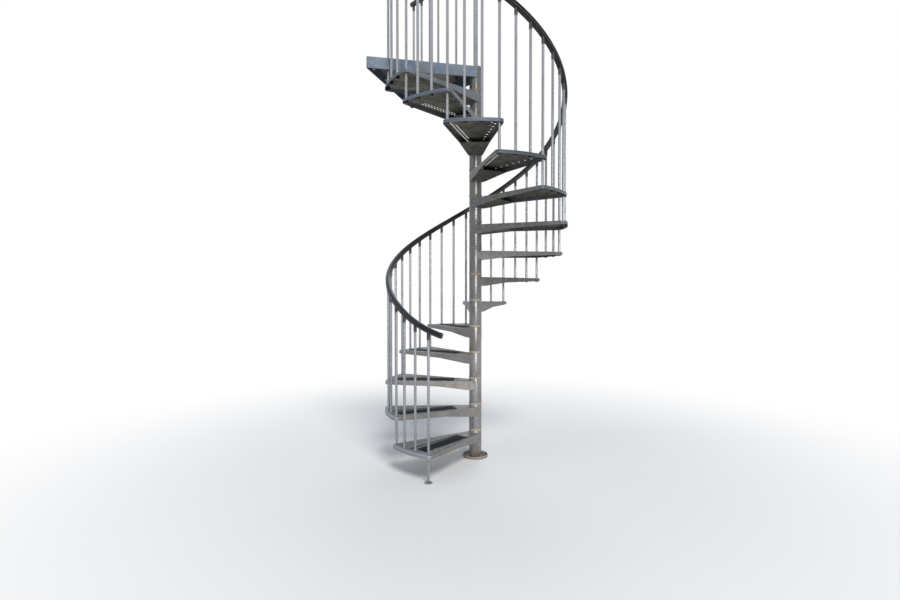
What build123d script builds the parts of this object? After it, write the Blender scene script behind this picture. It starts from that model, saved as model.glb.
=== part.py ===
from build123d import *
import math
import os

os.makedirs("parts", exist_ok=True)

# Galvanised steel spiral staircase against a wall, in millimetres.
# The origin is the underside of the base flange on the axis of the column, +Z is up,
# and the face of the wall that carries the landing is a plane of constant negative X.
# The stair climbs clockwise seen from above.

# Plan and rise
tread_count = 14
first_rise = 206.3
rise = 218.4
spindle_step = 9.67
spindles_per_tread = 3
first_angle = 257.1
rim_r = 760
wall_gap = 10

# Column
pole_r = 19
hub_r = 52
hub_wall = 4
ring_lip = 2
ring_height = 14
ring_above_tread = 18
pole_clearance = 0.2
base_r = 105
base_thick = 10
base_rim_height = 20
base_rim_thick = 4
anchor_circle_r = 78
anchor_count = 4
anchor_hole_r = 7
hub_cap_thick = 3
post_cap_height = 8

# Treads
edge_angle = 12.9
corner_r = 34
sheet = 3
fold_r = 5
hub_depth = 75
closing_end_x = 295
closing_end_depth = 44
rim_depth = 27
strip_thick = 1.5
strip_length = 500
strip_width = 100
strip_rim_gap = 80
strip_y = 48
strip_angle = 5.5
line_strip_length = 516
line_strip_width = 12
line_strip_rim_gap = 61
line_strip_y = -29
line_strip_angle = 1

# Balusters
spindle_rim_inset = 28
spindle_r = 10
spindle_hole_clearance = 0.2
collar_r = 15
collar_height = 12
cap_height = 27
cap_floor = 3
guard_stub = 47
foot_r = 30
foot_thick = 6

# Handrail
rail_height = 885
rail_level_k = 2
rail_level_lift = 6
rail_level_steps = 6
rail_r = 21.5
rail_flat_drop = 15
bar_width = 30
bar_thick = 5
connector_r = 12.5
connector_length = 50
connector_floor = 25
seat_clearance = 0.3
rail_start_angle = 8.8
rail_end_angle = 3.5

# Landing
landing_depth = 92
landing_half_angle = 29.3
guard_angle = 149
guard_hub_gap = 190
guard_end_gap = 42
guard_count = 6
guard_wall_gap = 12
wall_bolt_count = 4
wall_bolt_spacing = 240
wall_bolt_hole_r = 6
wall_bolt_drop = 50

tread_step = spindle_step * spindles_per_tread
spindle_rise = rise / spindles_per_tread
spindle_circle_r = rim_r - spindle_rim_inset
wall_distance = rim_r + wall_gap
guard_start_r = hub_r + guard_hub_gap
guard_end_r = (wall_distance - guard_end_gap) / abs(math.cos(math.radians(guard_angle)))
guard_spacing = (guard_end_r - guard_start_r) / (guard_count - 1)
last_spindle = spindles_per_tread * tread_count
landing_level = tread_count + 1


def polar(radius, angle):
    """Plan position at a radius from the column's axis, in a direction in degrees."""
    turn = math.radians(angle)
    return radius * math.cos(turn), radius * math.sin(turn)


def tread_top(n):
    """Height of the top of tread n, where the landing counts as the next tread."""
    return first_rise + (n - 1) * rise


def tread_mid_angle(n):
    """Direction of the middle of tread n in plan."""
    return first_angle - (n - 1) * tread_step - tread_step / 2


def spindle_angle(k):
    """Direction of baluster k in plan, counted from the foot of the stair."""
    return first_angle - k * spindle_step


def rail_centre(k):
    """Height of the handrail's centre over baluster k. It levels out near the foot of the stair."""
    return first_rise + rail_height + k * spindle_rise + rail_level_lift * max(0, rail_level_k - k) ** 2


def rail_lean(k):
    """Angle at which the handrail climbs over baluster k, in radians."""
    climb = spindle_rise - 2 * rail_level_lift * max(0, rail_level_k - k)
    return math.atan(climb / (math.radians(spindle_step) * spindle_circle_r))


def disc(radius, height, bottom=0.0, x=0.0, y=0.0):
    """Upright cylinder with its lower face at the height bottom."""
    return Pos(x, y, bottom) * Cylinder(radius, height, align=(Align.CENTER, Align.CENTER, Align.MIN))


def save(shapes, name):
    """Write the pieces of one node."""
    solids = [solid for shape in shapes for solid in shape.solids()]
    export_step(Compound(label=name, children=solids), "parts/" + name + ".step")


# Treads: folded sheet, made with the middle along +X, the front edge on the +Y side
# and the top at zero height, then turned and lifted to its place.
def side_point(angle, offset, radius):
    """Point at a radius on the straight line that passes the axis at an offset, in a direction."""
    along, across = math.sqrt(radius ** 2 - offset ** 2), offset
    turn = math.radians(angle)
    x = along * math.cos(turn) - across * math.sin(turn)
    y = along * math.sin(turn) + across * math.cos(turn)
    return x, y


def tread_outline(inset):
    """Tread seen from above: two straight sides that touch the column tube, and the arc of the rim."""
    offset = hub_r - inset
    radius = rim_r - inset
    front_out = side_point(edge_angle, offset, radius)
    front_in = side_point(edge_angle, offset, offset)
    rear_out = (front_out[0], -front_out[1])
    rear_in = (front_in[0], -front_in[1])
    edges = [
        Line(rear_in, rear_out),
        ThreePointArc(rear_out, (radius, 0), front_out),
        Line(front_out, front_in),
        Line(front_in, rear_in),
    ]
    outline = make_face(edges)
    corners = outline.vertices().sort_by(Axis.X)[-2:]
    return fillet(corners, corner_r - inset)


def side_prism(points):
    """Solid with a closed outline in X and Z, wider than any tread."""
    return extrude(Plane.XZ * make_face(Polyline(*points, close=True)), rim_r, both=True)


def folded_tread():
    """Top sheet, rim, two side flanges and the plate that closes the deep end, as one welded piece."""
    past_rim = rim_r + 1
    outer = extrude(tread_outline(0), hub_depth, dir=(0, 0, -1))
    outer &= side_prism([
        (0, 1),
        (0, -hub_depth),
        (hub_r, -hub_depth),
        (closing_end_x, -closing_end_depth),
        (rim_r - corner_r, -rim_depth),
        (past_rim, -rim_depth),
        (past_rim, 1),
    ])
    folds = outer.edges().group_by(Axis.Z)[-1].sort_by(Axis.X)[1:]
    outer = fillet(folds, fold_r)
    below = -hub_depth - 2
    inner = extrude(tread_outline(sheet), hub_depth + 1, dir=(0, 0, -1))
    inner &= side_prism([
        (0, -sheet),
        (0, -hub_depth + sheet),
        (hub_r, -hub_depth + sheet),
        (closing_end_x, -closing_end_depth + sheet),
        (closing_end_x, below),
        (past_rim, below),
        (past_rim, -sheet),
    ])
    return outer - inner


def place(shape, n):
    """Turn and lift a piece from the tread's own frame to tread n."""
    return Pos(0, 0, tread_top(n)) * Rot(0, 0, tread_mid_angle(n)) * shape


def hub_bottom(n):
    """Height of the lower end of the column tube of tread n."""
    if n == 1:
        return base_thick
    return tread_top(n - 1) + ring_above_tread + ring_height


def spindle_hole(radius, angle, depth):
    """Cutter for a baluster through a sheet whose top is at zero height."""
    x, y = polar(radius, angle)
    return disc(spindle_r + spindle_hole_clearance, depth, -depth, x, y)


sheet_body = folded_tread()
for n in range(1, tread_count + 1):
    tube_bottom = hub_bottom(n) - tread_top(n)
    tube_height = ring_above_tread - tube_bottom
    tread = sheet_body + disc(hub_r, tube_height, tube_bottom)
    tread -= disc(hub_r - hub_wall, tube_height, tube_bottom)
    first_k = spindles_per_tread * (n - 1)
    for k in range(first_k, first_k + spindles_per_tread + 1):
        tread -= spindle_hole(spindle_circle_r, spindle_angle(k) - tread_mid_angle(n), rim_depth)
    save([place(tread, n)], "tread_" + str(n).zfill(2))

# Anti slip strips: a wide one near the front edge and a narrow one behind it
wide = Rot(0, 0, strip_angle) * Box(strip_length, strip_width, strip_thick)
wide = Pos(rim_r - strip_rim_gap - strip_length / 2, strip_y, strip_thick / 2) * wide
narrow = Rot(0, 0, line_strip_angle) * Box(line_strip_length, line_strip_width, strip_thick)
narrow = Pos(rim_r - line_strip_rim_gap - line_strip_length / 2, line_strip_y, strip_thick / 2) * narrow
strips = []
for n in range(1, tread_count + 1):
    strips.append(place(wide, n))
    strips.append(place(narrow, n))
save(strips, "anti_slip_strips")

# Landing: a wedge of folded sheet from the column to the wall
landing_top = tread_top(landing_level)


def landing_outline(inset):
    """Landing seen from above: two sides that touch the column tube, and the straight wall side."""
    offset = hub_r - inset
    wall_x = wall_distance - inset
    turn = math.radians(landing_half_angle)
    wall_y = wall_x * math.tan(turn) + offset / math.cos(turn)
    near_x = offset * math.sin(turn)
    near_y = offset * math.cos(turn)
    points = [(near_x, near_y), (-wall_x, wall_y), (-wall_x, -wall_y), (near_x, -near_y)]
    return make_face(Polyline(*points, close=True))


def guard_radius(index):
    """Distance from the axis to one baluster along the rear edge of the landing."""
    return guard_start_r + index * guard_spacing


tube_bottom = hub_bottom(landing_level) - landing_top
landing = extrude(landing_outline(0), landing_depth, dir=(0, 0, -1))
landing -= Pos(0, 0, -sheet) * extrude(landing_outline(sheet), landing_depth, dir=(0, 0, -1))
landing += disc(hub_r, -tube_bottom, tube_bottom)
landing -= disc(hub_r - hub_wall, -tube_bottom, tube_bottom)
landing -= spindle_hole(spindle_circle_r, spindle_angle(last_spindle), landing_depth)
for index in range(guard_count):
    landing -= spindle_hole(guard_radius(index), guard_angle, landing_depth)
for index in range(wall_bolt_count):
    along_wall = (index - (wall_bolt_count - 1) / 2) * wall_bolt_spacing
    hole = Rot(0, 90, 0) * Cylinder(wall_bolt_hole_r, 4 * sheet)
    landing -= Pos(-wall_distance, along_wall, -wall_bolt_drop) * hole
save([Pos(0, 0, landing_top) * landing], "landing")

# Column: base flange, spacer rings between the tubes, the pole inside and the two caps
base = disc(base_r, base_rim_height)
base -= disc(base_r - base_rim_thick, base_rim_height, base_thick)
for index in range(anchor_count):
    x, y = polar(anchor_circle_r, 45 + index * 360 / anchor_count)
    base -= disc(anchor_hole_r, base_thick, 0, x, y)
save([base], "base_flange")

post_top = rail_centre(last_spindle) + rail_r
save([disc(pole_r, post_top - base_thick, base_thick)], "centre_pole")

pole_hole_r = pole_r + pole_clearance
ring_r = hub_r + ring_lip
rings = []
for n in range(1, tread_count + 1):
    bottom = tread_top(n) + ring_above_tread
    rings.append(disc(ring_r, ring_height, bottom) - disc(pole_hole_r, ring_height, bottom))
save(rings, "spacer_rings")

hub_cap = disc(hub_r, hub_cap_thick, landing_top) - disc(pole_hole_r, hub_cap_thick, landing_top)
save([hub_cap], "column_cap")
save([disc(pole_r, post_cap_height, post_top)], "post_cap")

# Balusters, with a plastic cap on each lower end, a collar where one passes through a tread
# and a plastic connector under the handrail. The front corner one of each tread
# runs down to the rear corner of the tread below.
bar_drop = rail_flat_drop + bar_thick
cap_drop = sheet + cap_height


def rail_seat(k):
    """Height of the connector's upper end on the axis of baluster k."""
    return rail_centre(k) - bar_drop / math.cos(rail_lean(k)) - seat_clearance


def upright(k, bottom):
    """Baluster k of the spiral, from a height up into its connector."""
    x, y = polar(spindle_circle_r, spindle_angle(k))
    return disc(spindle_r, rail_seat(k) - connector_floor - bottom, bottom, x, y)


def collar(x, y, n):
    """Ring round a baluster under the sheet of tread n."""
    bottom = tread_top(n) - sheet - collar_height
    return disc(collar_r, collar_height, bottom, x, y) - disc(spindle_r, collar_height, bottom, x, y)


def end_cap(x, y, n):
    """Cup on the lower end of a baluster under the sheet of tread n."""
    bottom = tread_top(n) - cap_drop
    cup = disc(collar_r, cap_floor + cap_height, bottom - cap_floor, x, y)
    return cup - disc(spindle_r, cap_height, bottom, x, y)


def connector(x, y, seat, turn=0.0, lean=0.0):
    """Socket on the upper end of a baluster, cut to the lean of the rail that it seats."""
    above = connector_length
    body = disc(connector_r, connector_length + above, -connector_length)
    body -= Rot(0, -math.degrees(lean), 0) * Pos(0, 0, 2 * above) * Box(8 * above, 8 * above, 4 * above)
    body -= disc(spindle_r, connector_length - connector_floor, -connector_length)
    return Pos(x, y, seat) * Rot(0, 0, turn) * body


def rail_connector(k):
    """Connector of baluster k of the spiral."""
    x, y = polar(spindle_circle_r, spindle_angle(k))
    return connector(x, y, rail_seat(k), spindle_angle(k) - 90, rail_lean(k))


collars = []
caps = []
connectors = []
for n in range(1, tread_count + 1):
    first_k = spindles_per_tread * (n - 1)
    uprights = []
    for k in range(first_k, first_k + spindles_per_tread):
        x, y = polar(spindle_circle_r, spindle_angle(k))
        connectors.append(rail_connector(k))
        if k > first_k:
            foot = tread_top(n) - cap_drop
            caps.append(end_cap(x, y, n))
        else:
            collars.append(collar(x, y, n))
            foot = foot_thick
            if n > 1:
                foot = tread_top(n - 1) - cap_drop
                caps.append(end_cap(x, y, n - 1))
        uprights.append(upright(k, foot))
    save(uprights, "balusters_" + str(n).zfill(2))

x, y = polar(spindle_circle_r, spindle_angle(last_spindle))
connectors.append(rail_connector(last_spindle))
collars.append(collar(x, y, landing_level))
caps.append(end_cap(x, y, tread_count))
landing_uprights = [upright(last_spindle, tread_top(tread_count) - cap_drop)]

guard_level = rail_centre(last_spindle)
guard_seat = guard_level - bar_drop - seat_clearance
foot = landing_top - guard_stub
for index in range(guard_count):
    x, y = polar(guard_radius(index), guard_angle)
    landing_uprights.append(disc(spindle_r, guard_seat - connector_floor - foot, foot, x, y))
    connectors.append(connector(x, y, guard_seat))
    collars.append(collar(x, y, landing_level))
    caps.append(disc(spindle_r, cap_floor, foot - cap_floor, x, y))
save(landing_uprights, "landing_balusters")
save(connectors, "rail_connectors")
save(collars, "baluster_collars")
save(caps, "baluster_caps")

x, y = polar(spindle_circle_r, spindle_angle(0))
save([disc(foot_r, foot_thick, 0, x, y)], "first_baluster_foot")


# Handrail: a plastic moulding on a flat steel bar, wound on the circle of the balusters
def rail_section():
    """Round moulding, cut flat below."""
    cut = 2 * rail_r
    return Circle(rail_r) - Pos(0, -rail_flat_drop - cut / 2) * Rectangle(2 * cut, cut)


def bar_section():
    """Flat bar under the moulding."""
    return Pos(0, -rail_flat_drop - bar_thick / 2) * Rectangle(bar_width, bar_thick)


def rail_plane(k):
    """Plane square to the handrail at baluster k, with X away from the column."""
    x, y = polar(spindle_circle_r, spindle_angle(k))
    out_x, out_y = polar(1, spindle_angle(k))
    level, climb = math.cos(rail_lean(k)), math.sin(rail_lean(k))
    return Plane(origin=(x, y, rail_centre(k)), x_dir=(out_x, out_y, 0), z_dir=(out_y * level, -out_x * level, climb))


def wound(section):
    """Carry a section up the helix from baluster rail_level_k, and down to its levelled lower end."""
    turned = (last_spindle - rail_level_k) * spindle_step + rail_end_angle
    turn_rise = spindle_rise / spindle_step
    path = Helix(360 * turn_rise, turned * turn_rise, spindle_circle_r, lefthand=True)
    start = Plane(origin=path @ 0, x_dir=(1, 0, 0), z_dir=path % 0)
    helix = sweep(start * section, path=path, is_frenet=True)
    helix = Pos(0, 0, rail_centre(rail_level_k)) * Rot(0, 0, spindle_angle(rail_level_k)) * helix
    first_k = -rail_start_angle / spindle_step
    steps = [rail_level_k + (first_k - rail_level_k) * i / rail_level_steps for i in range(rail_level_steps + 1)]
    return helix + loft([rail_plane(k) * section for k in steps])


def guard(section):
    """Straight level rail of the landing, from the pole to the wall."""
    x, y = polar(pole_r + seat_clearance, guard_angle)
    dx, dy = polar(1, guard_angle)
    reach = (wall_distance - guard_wall_gap - abs(x)) / abs(dx)
    start = Plane(origin=(x, y, guard_level), x_dir=(-dy, dx, 0), z_dir=(dx, dy, 0))
    return extrude(start * section, reach)


save([wound(rail_section())], "handrail")
save([wound(bar_section())], "handrail_bar")
save([guard(rail_section())], "landing_handrail")
save([guard(bar_section())], "landing_handrail_bar")
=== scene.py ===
import random
from math import asin, atan, atan2, copysign, cos, degrees, dist, pi, radians, sin, sqrt, tan

import bmesh
import bpy
from mathutils import Matrix, Vector, geometry


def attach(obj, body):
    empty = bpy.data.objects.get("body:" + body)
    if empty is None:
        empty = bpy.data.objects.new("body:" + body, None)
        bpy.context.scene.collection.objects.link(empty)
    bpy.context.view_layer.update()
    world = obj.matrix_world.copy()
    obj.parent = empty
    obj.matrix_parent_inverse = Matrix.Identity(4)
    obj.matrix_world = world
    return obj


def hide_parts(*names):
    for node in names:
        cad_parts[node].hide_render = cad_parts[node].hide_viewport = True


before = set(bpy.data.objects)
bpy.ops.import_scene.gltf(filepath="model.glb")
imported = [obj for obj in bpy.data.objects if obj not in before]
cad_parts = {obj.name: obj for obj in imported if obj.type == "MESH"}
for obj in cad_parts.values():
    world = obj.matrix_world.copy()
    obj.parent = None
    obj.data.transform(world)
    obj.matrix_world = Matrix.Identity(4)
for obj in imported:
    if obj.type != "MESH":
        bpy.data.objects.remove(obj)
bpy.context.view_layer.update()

# Sizes repeat those of the CAD source, in millimetres. Objects are built in metres.
MM = 0.001

tread_count = 14
first_rise = 206.3
rise = 218.4
spindle_step = 9.67
spindles_per_tread = 3
first_angle = 257.1
rim_r = 760
wall_distance = 770
tread_step = spindle_step * spindles_per_tread
last_spindle = spindles_per_tread * tread_count
landing_level = tread_count + 1

pole_r = 19
hub_r = 52
hub_wall = 4
ring_r = 54
ring_height = 14
ring_above_tread = 18
base_r = 105
base_thick = 10
base_rim_height = 20
base_rim_thick = 4
anchor_circle_r = 78
anchor_count = 4
hub_cap_thick = 3
post_cap_height = 8

edge_angle = radians(12.9)
corner_r = 34
sheet = 3
fold_r = 5
rim_depth = 27
hub_depth = 75
closing_end_x = 295
closing_end_depth = 44

spindle_circle_r = 732
spindle_r = 10
collar_r = 15
collar_height = 12
cap_height = 27
cap_floor = 3
foot_r = 30
foot_thick = 6

rail_height = 885
rail_level_k = 2
rail_level_lift = 6
rail_start_angle = 8.8
rail_end_angle = 3.5
rail_r = 21.5
rail_flat_drop = 15
bar_thick = 5
connector_r = 12.5
connector_length = 50
seat_clearance = 0.3

landing_depth = 92
landing_angle = radians(29.3)
landing_corner_r = 8
guard_angle = 149
guard_hub_gap = 190
guard_end_gap = 42
guard_wall_gap = 12
guard_count = 6
guard_stub = 47
wall_bolt_count = 4
wall_bolt_spacing = 240
wall_bolt_drop = 50

spindle_rise = rise / spindles_per_tread
bar_drop = rail_flat_drop + bar_thick
guard_start_r = hub_r + guard_hub_gap
guard_end_r = (wall_distance - guard_end_gap) / abs(cos(radians(guard_angle)))
guard_spacing = (guard_end_r - guard_start_r) / (guard_count - 1)


def polar(radius, direction):
    """Plan position at a radius from the column's axis, in a direction in degrees."""
    turn = radians(direction)
    return radius * cos(turn), radius * sin(turn)


def tread_top(n):
    """Height of the top of tread n, where the landing counts as the next tread."""
    return first_rise + (n - 1) * rise


def tread_mid_angle(n):
    """Direction of the middle of tread n in plan."""
    return first_angle - (n - 1) * tread_step - tread_step / 2


def spindle_angle(k):
    """Direction of baluster k in plan."""
    return first_angle - k * spindle_step


def rail_centre(k):
    """Height of the handrail's centre over baluster k. It levels out near the foot of the stair."""
    return first_rise + rail_height + k * spindle_rise + rail_level_lift * max(0, rail_level_k - k) ** 2


def rail_lean(k):
    """Angle at which the handrail climbs over baluster k, in radians."""
    climb = spindle_rise - 2 * rail_level_lift * max(0, rail_level_k - k)
    return atan(climb / (radians(spindle_step) * spindle_circle_r))


def rail_seat(k):
    """Height of the sleeve's upper end on the axis of baluster k."""
    return rail_centre(k) - bar_drop / cos(rail_lean(k)) - seat_clearance


def hub_bottom(n):
    """Height of the lower end of the column tube of tread n."""
    if n == 1:
        return base_thick
    return tread_top(n - 1) + ring_above_tread + ring_height


def added(name, data):
    """New object in the scene, from its data."""
    piece = bpy.data.objects.new(name, data)
    bpy.context.scene.collection.objects.link(piece)
    return piece


# Camera at the photograph's angle
def make_camera():
    """Camera that stands where the photograph was taken."""
    data = bpy.data.cameras.new("camera")
    data.sensor_width = 36
    data.lens = 20.88
    camera = added("camera", data)
    camera.location = (1.1260, -4.2677, 1.400)
    down, left = 1.006, 17.566
    camera.rotation_euler = (radians(90 - down), 0, radians(left))
    bpy.context.scene.camera = camera


make_camera()


# Materials
class Paint:
    """One procedural material, with short names for the nodes that it is made from."""

    def __init__(self, name, metallic=0.0, specular=0.5):
        self.material = bpy.data.materials.new(name)
        self.material.use_nodes = True
        self.nodes = self.material.node_tree.nodes
        self.links = self.material.node_tree.links
        self.shader = self.nodes["Principled BSDF"]
        self.shader.inputs["Metallic"].default_value = metallic
        self.shader.inputs["Specular IOR Level"].default_value = specular
        surface = self.nodes.new("ShaderNodeNewGeometry")
        self.spot = surface.outputs["Position"]
        self.normal = surface.outputs["Normal"]
        self.local = self.nodes.new("ShaderNodeTexCoord").outputs["Object"]
        self.colour = None

    def put(self, socket, value):
        """Link a socket, or set its value. A colour is given as red, green and blue."""
        if isinstance(value, bpy.types.NodeSocket):
            self.links.new(value, socket)
        elif socket.type == "RGBA":
            socket.default_value = (*value, 1)
        else:
            socket.default_value = value

    def new(self, kind, inputs):
        """New node of a kind, with its inputs linked or set."""
        node = self.nodes.new("ShaderNode" + kind)
        for name, value in inputs.items():
            self.put(node.inputs[name], value)
        return node

    def scaled(self, vector, stretch):
        """Vector with each part multiplied."""
        node = self.new("VectorMath", {0: vector, 1: stretch})
        node.operation = "MULTIPLY"
        return node.outputs[0]

    def length(self, vector):
        """Length of a vector."""
        node = self.new("VectorMath", {0: vector})
        node.operation = "LENGTH"
        return node.outputs["Value"]

    def upward(self, vector):
        """Upward part of a vector."""
        return self.new("SeparateXYZ", {0: vector}).outputs["Z"]

    def noise(self, scale, detail=4.0, stretch=(1, 1, 1), rough=0.55):
        """Noise from 0 to 1 by place in the world, at a scale in cycles a metre."""
        place = self.scaled(self.spot, stretch)
        inputs = {"Vector": place, "Scale": scale, "Detail": detail, "Roughness": rough}
        return self.new("TexNoise", inputs).outputs["Fac"]

    def patches(self, low, high, *noise):
        """Patches with soft edges, from noise between two levels."""
        return self.band(self.noise(*noise), low, high)

    def cells(self, scale):
        """Flat patches of random value, as zinc crystals."""
        crystals = self.new("TexVoronoi", {"Vector": self.spot, "Scale": scale})
        return self.new("SeparateColor", {0: crystals.outputs["Color"]}).outputs[0]

    def band(self, value, low, high):
        """0 below low, 1 above high, smooth between. It runs the other way where low is the larger."""
        first, last = (0, 1) if low < high else (1, 0)
        node = self.new("MapRange", {"Value": value, "From Min": min(low, high), "From Max": max(low, high),
                                     "To Min": first, "To Max": last})
        node.interpolation_type = "SMOOTHSTEP"
        return node.outputs["Result"]

    def span(self, value, low, high):
        """A value from 0 to 1, spread from low to high."""
        return self.new("MapRange", {"Value": value, "To Min": low, "To Max": high}).outputs["Result"]

    def joined(self, operation, first, second):
        """Two values put together by one operation, kept between 0 and 1."""
        node = self.new("Math", {0: first, 1: second})
        node.operation = operation
        node.use_clamp = True
        return node.outputs[0]

    def times(self, first, second):
        """Product of two values."""
        return self.joined("MULTIPLY", first, second)

    def upright(self):
        """1 on upright faces and 0 on level ones."""
        return self.band(self.joined("ABSOLUTE", self.upward(self.normal), 0), 0.6, 0.25)

    def below(self):
        """1 on faces that look down and 0 on the others."""
        return self.band(self.upward(self.normal), -0.5, -0.9)

    def blend(self, share, first, second):
        """Colour that goes from the first to the second."""
        node = self.nodes.new("ShaderNodeMix")
        node.data_type = "RGBA"
        self.put(node.inputs["Factor"], share)
        self.put(node.inputs["A"], first)
        self.put(node.inputs["B"], second)
        return node.outputs["Result"]

    def ground(self, share, first, second):
        """Start with a colour that goes from the first to the second."""
        self.colour = self.blend(share, first, second)

    def coat(self, colour, share, strength=1.0):
        """Put another colour on, by a share from 0 to 1 and a strength."""
        self.colour = self.blend(self.times(share, strength), self.colour, colour)

    def speckle(self, scale, low, high):
        """Make the colour darker in small patches."""
        self.coat((0.075, 0.075, 0.072), self.patches(low, high, scale, 8, (1, 1, 1), 0.7), 0.65)

    def finish(self, roughness, relief=None, depth=0.0):
        """Set the colour, roughness and relief, and return the material."""
        self.put(self.shader.inputs["Base Color"], self.colour)
        self.put(self.shader.inputs["Roughness"], roughness)
        if relief is not None:
            bump = self.new("Bump", {"Height": relief, "Distance": depth})
            self.put(self.shader.inputs["Normal"], bump.outputs[0])
        return self.material


def zinc_sheet(paint, upright_tint_and_reflection):
    """Zinc crystals with clouds, stains and specks, painted reflection on upright faces, and olive grime with
    painted shade below.
    """
    paint.ground(paint.cells(90), (0.11, 0.117, 0.126), (0.215, 0.224, 0.236))
    # Upright faces take the colour given, which carries a painted reflection.
    paint.coat(upright_tint_and_reflection, paint.upright(), 0.8)
    paint.coat((0.12, 0.125, 0.13), paint.patches(0.4, 0.7, 5), 0.45)
    paint.coat((0.15, 0.125, 0.1), paint.patches(0.56, 0.7, 14, 8), 0.4)
    paint.speckle(34, 0.53, 0.68)
    # Faces that look down get painted shade, mixed with olive grime and dark specks.
    dirt_and_shade = paint.blend(paint.patches(0.38, 0.64, 11, 8), (0.16, 0.153, 0.126), (0.34, 0.322, 0.25))
    specks = paint.times(paint.patches(0.48, 0.62, 46, 8, (1, 1, 1), 0.75), 0.6)
    paint.put(paint.shader.inputs["Metallic"], paint.span(paint.below(), 0.3, 0.0))
    paint.coat(paint.blend(specks, dirt_and_shade, (0.06, 0.058, 0.05)), paint.below(), 0.94)


def galvanised_sheet():
    """Weathered zinc on the treads, with painted reflection and shade: warmer low down, cooler higher up, and
    a cool rim.
    """
    paint = Paint("galvanised sheet")
    world_height = paint.upward(paint.spot)
    higher = paint.band(world_height, 1.0, 2.5)
    # Painted reflection on upright faces: warm low down, cool like the sky higher up.
    zinc_sheet(paint, paint.blend(higher, (0.255, 0.235, 0.215), (0.15, 0.182, 0.225)))
    middle = paint.times(paint.band(world_height, 1.05, 1.5), paint.band(world_height, 3.0, 2.2))
    mottled = paint.span(paint.patches(0.38, 0.62, 26, 8, (1, 1, 1), 0.7), 0.25, 0.8)
    paint.coat((0.085, 0.08, 0.066), middle, mottled)
    outer = paint.band(paint.length(paint.scaled(paint.local, (1, 1, 0))), 0.725, 0.75)
    # Painted reflection and shade on the rim: pale blue low down, dark shade higher up, a bluer sky
    # reflection on the top treads.
    rim = paint.blend(higher, (0.28, 0.33, 0.4), (0.035, 0.055, 0.078))
    rim = paint.blend(paint.band(world_height, 2.42, 2.56), rim, (0.08, 0.125, 0.19))
    paint.coat(rim, outer, 0.8)
    lip = paint.times(paint.band(paint.upward(paint.local), -0.010, -0.013), outer)
    # Painted light on the rim's lower band: a reflection of the floor low down and shade higher up.
    painted_light = paint.blend(higher, (0.25, 0.225, 0.19), (0.07, 0.08, 0.092))
    paint.coat(painted_light, lip, 0.75)
    rough = paint.joined("ADD", paint.span(paint.noise(40), 0.36, 0.6), paint.span(paint.below(), 0.0, 0.4))
    return paint.finish(rough, paint.noise(300, 6), 0.0006)


def galvanised_landing():
    """Weathered zinc on the landing, with a painted sky reflection on its upright sides, cool and patchy."""
    paint = Paint("galvanised landing")
    # Dark blue painted reflection of the sky on the upright sides.
    zinc_sheet(paint, (0.04, 0.08, 0.14))
    # Streaky lighter blue patches on the upright sides: the streaks are stains, the blue is a painted sky
    # reflection.
    painted_light = paint.times(paint.patches(0.5, 0.62, 12, 8, (1, 1, 2.5), 0.65), 0.55)
    paint.coat((0.115, 0.18, 0.28), painted_light, paint.upright())
    return paint.finish(paint.span(paint.noise(40), 0.34, 0.56), paint.noise(300, 6), 0.0006)


def galvanised_tube():
    """Zinc tube of the balusters, with dull streaks."""
    paint = Paint("galvanised tube", 0.4)
    paint.ground(paint.noise(60, 4, (1, 1, 0.08)), (0.2, 0.213, 0.235), (0.33, 0.347, 0.372))
    paint.coat((0.15, 0.145, 0.135), paint.patches(0.5, 0.7, 9, 6, (1, 1, 0.3)), 0.35)
    return paint.finish(paint.span(paint.noise(50), 0.22, 0.32), paint.noise(400, 4), 0.00012)


def galvanised_column():
    """Zinc on the column tubes, with fine upright streaks and brown grime, and painted shade that makes it
    darker higher up.
    """
    paint = Paint("galvanised column", 0.3)
    paint.ground(paint.noise(50, 5, (1, 1, 0.15)), (0.15, 0.153, 0.158), (0.3, 0.304, 0.31))
    paint.coat((0.42, 0.42, 0.42), paint.cells(110), 0.2)
    paint.speckle(30, 0.55, 0.7)
    paint.coat((0.135, 0.108, 0.082), paint.patches(0.47, 0.64, 13, 8, (1, 1, 0.4)), 0.65)
    # Painted shade: the column darkens higher up.
    paint.coat((0.07, 0.073, 0.075), paint.band(paint.upward(paint.spot), 0.8, 1.6), 0.6)
    return paint.finish(paint.span(paint.noise(45), 0.2, 0.36), paint.noise(350, 5), 0.0004)


def rusty_base():
    """Base flange: zinc gone brown, with a painted highlight along the upper edge and painted shade in the
    dish.
    """
    paint = Paint("rusty base", 0.1)
    paint.ground(paint.noise(30, 8), (0.15, 0.11, 0.085), (0.29, 0.23, 0.19))
    paint.coat((0.22, 0.2, 0.18), paint.patches(0.48, 0.62, 16, 6))
    height = paint.upward(paint.local)
    # Painted highlight along the upper edge of the rim.
    paint.coat((0.42, 0.39, 0.35), paint.band(height, 0.015, 0.018), 0.9)
    # Painted shade on the floor of the dish round the column.
    dish = paint.times(paint.band(paint.upward(paint.normal), 0.6, 0.9), paint.band(height, 0.013, 0.011))
    paint.coat((0.05, 0.04, 0.032), dish, 0.85)
    return paint.finish(paint.span(paint.noise(60), 0.55, 0.85), paint.noise(220, 8), 0.0012)


def galvanised_bar():
    """Flat bar under the handrail, dark grey."""
    paint = Paint("galvanised bar", 0.5)
    paint.ground(paint.noise(35, 5), (0.045, 0.046, 0.05), (0.1, 0.1, 0.105))
    return paint.finish(paint.span(paint.noise(50), 0.4, 0.55), paint.noise(300, 4), 0.0003)


def bright_zinc():
    """Newer zinc of the bolts at the wall."""
    paint = Paint("bright zinc", 0.85)
    paint.ground(paint.noise(120, 4), (0.49, 0.5, 0.51), (0.72, 0.72, 0.72))
    return paint.finish(paint.span(paint.noise(90), 0.25, 0.42), paint.noise(500, 3), 0.0002)


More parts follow.
